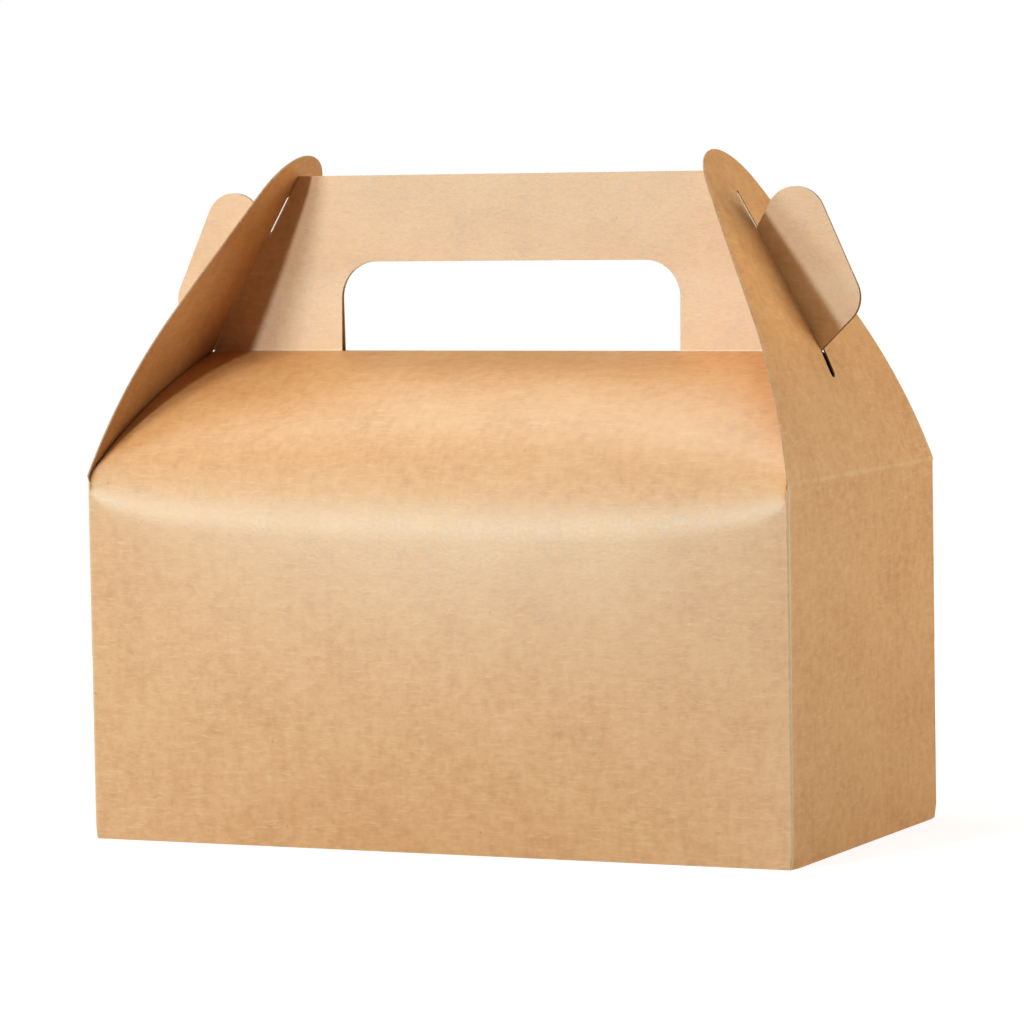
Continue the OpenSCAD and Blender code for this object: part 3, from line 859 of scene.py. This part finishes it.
azimuth, roll = math.radians(CAMERA_AZIMUTH), math.radians(CAMERA_ROLL)
back = direction(CAMERA_AZIMUTH, CAMERA_ELEVATION)
level = Vector((math.cos(azimuth), math.sin(azimuth), 0.0))
upright = back.cross(level)
camera_x = math.cos(roll) * level + math.sin(roll) * upright
camera_y = math.cos(roll) * upright - math.sin(roll) * level
camera_data = bpy.data.cameras.new("camera")
camera_data.sensor_width = 36.0
camera_data.lens = FOCAL_PX / PICTURE_PX * camera_data.sensor_width
camera_data.clip_start, camera_data.clip_end = 0.05, 50.0
camera = bpy.data.objects.new("camera", camera_data)
bpy.context.scene.collection.objects.link(camera)
place = (CAMERA_RIGHT * camera_x + CAMERA_UP * camera_y + CAMERA_BACK * back) * MM
camera.matrix_world = Matrix((
    (camera_x.x, camera_y.x, back.x, place.x),
    (camera_x.y, camera_y.y, back.y, place.y),
    (camera_x.z, camera_y.z, back.z, place.z),
    (0, 0, 0, 1),
))
bpy.context.scene.camera = camera
print("camera at", [round(c, 3) for c in place], "m, lens", round(camera_data.lens, 1), "mm")

# %% [markdown]
# ## Light
# The edge of the flap's shadow on the handle tells where the main light stands: in front,
# to the left and low. A near lamp beside it and a tall one above it draw the board's shine
# out into a band. A wide, warm one on the right fills the end wall, and three from above
# light the roof. The room itself gives very little, so the folds stay deep. One wide lamp
# would be simpler, but then neither the shadow nor the shine would be the photograph's.

# %% Lamps
AIM = Vector((0, 0, 0.1))


def lamp(name, azimuth, elevation, distance, width, height, power, colour=(1, 1, 1)):
    """A rectangular lamp that looks at the box, with lengths in metres and power in watts."""
    away = direction(azimuth, elevation)
    data = bpy.data.lights.new(name, "AREA")
    data.shape, data.size, data.size_y = "RECTANGLE", width, height
    data.energy, data.color = power, colour
    made = bpy.data.objects.new(name, data)
    made.location = AIM + away * distance
    made.rotation_mode = "QUATERNION"
    made.rotation_quaternion = away.to_track_quat("Z", "Y")
    bpy.context.scene.collection.objects.link(made)
    print(f"{name}: {power} W at {azimuth} and {elevation} degrees")
    return made


lamp("key_light", -16.5, 10.5, 2.5, 0.15, 0.2, 21.0)
lamp("near_light", -31, 11, 1.3, 0.25, 0.25, 4.0)
lamp("front_light", -28, 36, 1.6, 0.6, 1.0, 5.2)
lamp("side_light", 115, 8, 1.4, 0.9, 0.9, 14.0, (1.0, 0.9, 0.74))
lamp("roof_light", -105, 66, 1.4, 0.8, 0.8, 5.0)
lamp("top_light", -5, 72, 1.4, 0.7, 0.7, 3.8)
lamp("back_light", 178, 80, 1.4, 0.7, 0.7, 3.5)

# %% [markdown]
# ## Floor and backdrop
# The object stands on a plain white floor in front of white. Bright lamps could burn the
# floor out, but they would burn the box too. So the world is white only for the camera, and
# dim in reflections and as a light. The floor is grey board that adds a glow of its own to
# what the camera sees, so that it reads as white and still takes a faint shadow.

# %% World
SHINE_LIGHT, ROOM_LIGHT = 0.08, 0.008
world = bpy.data.worlds.new("studio")
world.use_nodes = True
bpy.context.scene.world = world
tree = world.node_tree
path = tree.nodes.new("ShaderNodeLightPath")
seen = maths(tree, "MAXIMUM", path.outputs["Is Camera Ray"], path.outputs["Is Transmission Ray"])
room = maths(tree, "MULTIPLY_ADD", path.outputs["Is Glossy Ray"], SHINE_LIGHT, ROOM_LIGHT)
tree.links.new(maths(tree, "MAXIMUM", seen, room), tree.nodes["Background"].inputs["Strength"])
tree.nodes["Background"].inputs["Color"].default_value = (1, 1, 1, 1)

# %% Floor
FLOOR_R, FLOOR_SIDES = 0.62, 96
turns = [math.tau * k / FLOOR_SIDES for k in range(FLOOR_SIDES)]
ring = [(FLOOR_R * math.cos(turn), FLOOR_R * math.sin(turn), 0) for turn in turns]
floor_mesh = bpy.data.meshes.new("floor")
floor_mesh.from_pydata(ring, [], [tuple(range(FLOOR_SIDES))])
floor = bpy.data.objects.new("floor", floor_mesh)
floor.location.z = -0.0001
bpy.context.scene.collection.objects.link(floor)
floor_paint = bpy.data.materials.new("floor_paint")
floor_paint.use_nodes = True
tree = floor_paint.node_tree
shader = tree.nodes["Principled BSDF"]
shader.inputs["Base Color"].default_value = (0.35, 0.35, 0.35, 1)
shader.inputs["Roughness"].default_value = 0.9
path = tree.nodes.new("ShaderNodeLightPath")
away = add(tree, "ShaderNodeVectorMath", {0: tree.nodes.new("ShaderNodeTexCoord").outputs["Object"]},
           operation="LENGTH").outputs["Value"]
glow = spread(tree, away, 0.2, 0.5, 0.8, 1.0, smooth=True)
shader.inputs["Emission Color"].default_value = (1, 1, 1, 1)
glow = maths(tree, "MULTIPLY", path.outputs["Is Camera Ray"], glow)
tree.links.new(glow, shader.inputs["Emission Strength"])
floor_mesh.materials.append(floor_paint)
floor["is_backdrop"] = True
print("floor", round(2 * FLOOR_R, 2), "m across")

# %% [markdown]
# ## Picture settings and size
# The plain Standard view shows each colour as it is written. The last step measures the
# finished box and prints its size.

bpy.context.scene.view_settings.view_transform = "Standard"
low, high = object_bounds()
print("finished box, mm:", [round(1000 * (b - a), 2) for a, b in zip(low, high)])
